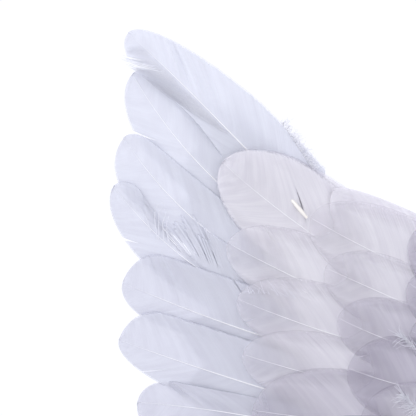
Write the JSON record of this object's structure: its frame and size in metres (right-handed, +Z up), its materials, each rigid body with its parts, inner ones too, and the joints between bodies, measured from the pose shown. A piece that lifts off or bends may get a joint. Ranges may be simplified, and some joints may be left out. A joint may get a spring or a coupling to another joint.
{
  "type": "costume wings",
  "caption": "Pair of feathered costume wings: hinged wire frames with overlapping feather rows on a padded back plate with elastic shoulder straps.",
  "frame": {"origin": "centre of the back pad's rear face, which lies on the wearer's back", "axes": "+Z up as worn, feathers face -Y, wearer at +Y, the wearer's right wing at +X"},
  "size_m": [0.7396, 0.0909, 0.5924],
  "materials": {
    "plate": "matte",
    "foam": "matte",
    "pad_fabric": "matte",
    "clip": "satin",
    "rivet": "satin",
    "elastic": "matte",
    "ring": "polished",
    "slider": "satin",
    "wire": "satin",
    "crimp": "satin",
    "felt": "matte",
    "feather_long": "satin",
    "feather_covert": "satin",
    "down": "matte"
  },
  "bodies": {
    "root": {"back_plate": "plate", "pad_foam": "foam", "pad_cover": "pad_fabric", "left_upper_hinge_clip": "clip", "left_lower_hinge_clip": "clip", "right_upper_hinge_clip": "clip", "right_lower_hinge_clip": "clip", "clip_rivets": "rivet", "strap_rivets": "rivet", "strap_washers": "rivet", "left_strap": "elastic", "right_strap": "elastic", "left_ring_tab": "elastic", "right_ring_tab": "elastic", "left_strap_ring": "ring", "right_strap_ring": "ring", "left_strap_tail": "elastic", "right_strap_tail": "elastic", "centre_boa": "down"},
    "left_slider": {"left_strap_slider": "slider"},
    "right_slider": {"right_strap_slider": "slider"},
    "left_wing": {"left_hinge_bar": "wire", "left_frame_wire": "wire", "left_upper_rib": "wire", "left_lower_rib": "wire", "left_bar_sleeves": "crimp", "left_rib_clamps": "crimp", "left_backing_felt": "felt", "left_under_feathers": "feather_long", "left_primary_feathers": "feather_long", "left_greater_coverts": "feather_covert", "left_median_coverts": "feather_covert", "left_lesser_coverts": "feather_covert", "left_marginal_coverts": "feather_covert", "left_root_down": "down"},
    "right_wing": {"right_hinge_bar": "wire", "right_frame_wire": "wire", "right_upper_rib": "wire", "right_lower_rib": "wire", "right_bar_sleeves": "crimp", "right_rib_clamps": "crimp", "right_backing_felt": "felt", "right_under_feathers": "feather_long", "right_primary_feathers": "feather_long", "right_greater_coverts": "feather_covert", "right_median_coverts": "feather_covert", "right_lesser_coverts": "feather_covert", "right_marginal_coverts": "feather_covert", "right_root_down": "down"}
  },
  "joints": [
    {"name": "left_wing_hinge", "type": "hinge", "parent": "root", "child": "left_wing", "pos_m": [-0.025, -0.017, 0], "axis": [0, 0, 1], "range_deg": [0, 60]},
    {"name": "right_wing_hinge", "type": "hinge", "parent": "root", "child": "right_wing", "pos_m": [0.025, -0.017, 0], "axis": [0, 0, -1], "range_deg": [0, 60]},
    {"name": "left_slider_slide", "type": "slide", "parent": "root", "child": "left_slider", "axis": [0, 0, 1], "range_m": [-0.015, 0.03], "deforming": ["left_strap_tail"]},
    {"name": "right_slider_slide", "type": "slide", "parent": "root", "child": "right_slider", "axis": [0, 0, 1], "range_m": [-0.015, 0.03], "deforming": ["right_strap_tail"]}
  ]
}
